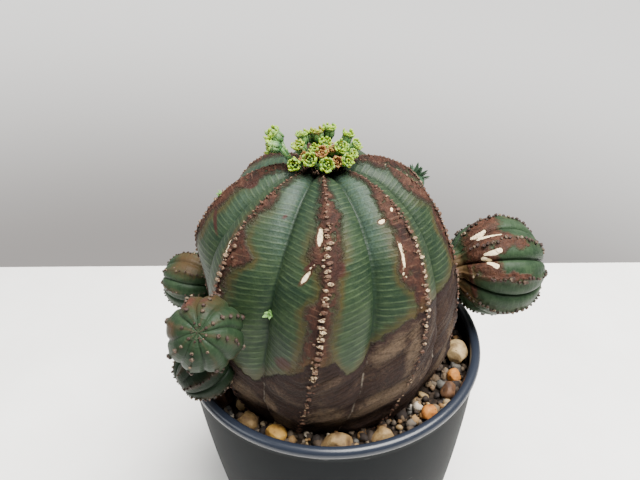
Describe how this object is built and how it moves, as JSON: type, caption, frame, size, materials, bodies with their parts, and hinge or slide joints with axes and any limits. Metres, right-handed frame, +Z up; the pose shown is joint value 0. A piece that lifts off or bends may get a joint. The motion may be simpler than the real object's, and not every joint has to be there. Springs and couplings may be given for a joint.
{
  "type": "potted baseball plant",
  "caption": "Ribbed ball-shaped succulent stem with small round offsets and a crown of tiny flowers, growing in gravel in a dark round pot.",
  "frame": {"origin": "centre of the pot's flat underside", "axes": "+Z up through the pot and the stem; -Y towards the front of the picture; +X to its right"},
  "size_m": [0.1391, 0.107, 0.1663],
  "materials": {
    "pot_plastic": "charcoal moulded plastic with a satin rim",
    "growing_mix": "dark crumbly potting mix",
    "grit": "dull mixed grit of brown, grey and white grains",
    "stem_skin": "waxy grey-green skin with paler bands and brown corky keels",
    "offset_skin": "waxy green skin flushed red-brown on top",
    "flower": "fleshy yellow-green with orange-brown tips",
    "stone_pale": "pale pitted pumice",
    "stone_tan": "dull tan stone",
    "stone_yellow": "dull yellow stone",
    "stone_orange": "dull orange stone",
    "stone_brown": "dull dark brown stone"
  },
  "bodies": {
    "root": {"pot": "pot_plastic", "growing_mix": "growing_mix", "grit_bed": "grit", "main_stem": "stem_skin", "offset_left_back": "offset_skin", "offset_left_front": "offset_skin", "offset_left_low": "offset_skin", "offset_right": "offset_skin", "offset_back_sprout": "offset_skin", "flower_spray_left": "flower", "flower_spray_middle_left": "flower", "flower_spray_middle": "flower", "flower_heads_front": "flower", "flower_spray_right": "flower", "stone_right_pale": "stone_pale", "stone_right_small": "stone_orange", "stone_right_brown": "stone_brown", "stone_front_right_orange": "stone_orange", "stone_front_right": "stone_tan", "stone_front_large": "stone_tan", "stone_front_left_yellow": "stone_yellow", "stone_left_tan": "stone_tan", "stone_left_brown": "stone_brown", "stone_back": "stone_tan", "stone_back_left": "stone_brown"}
  },
  "joints": []
}
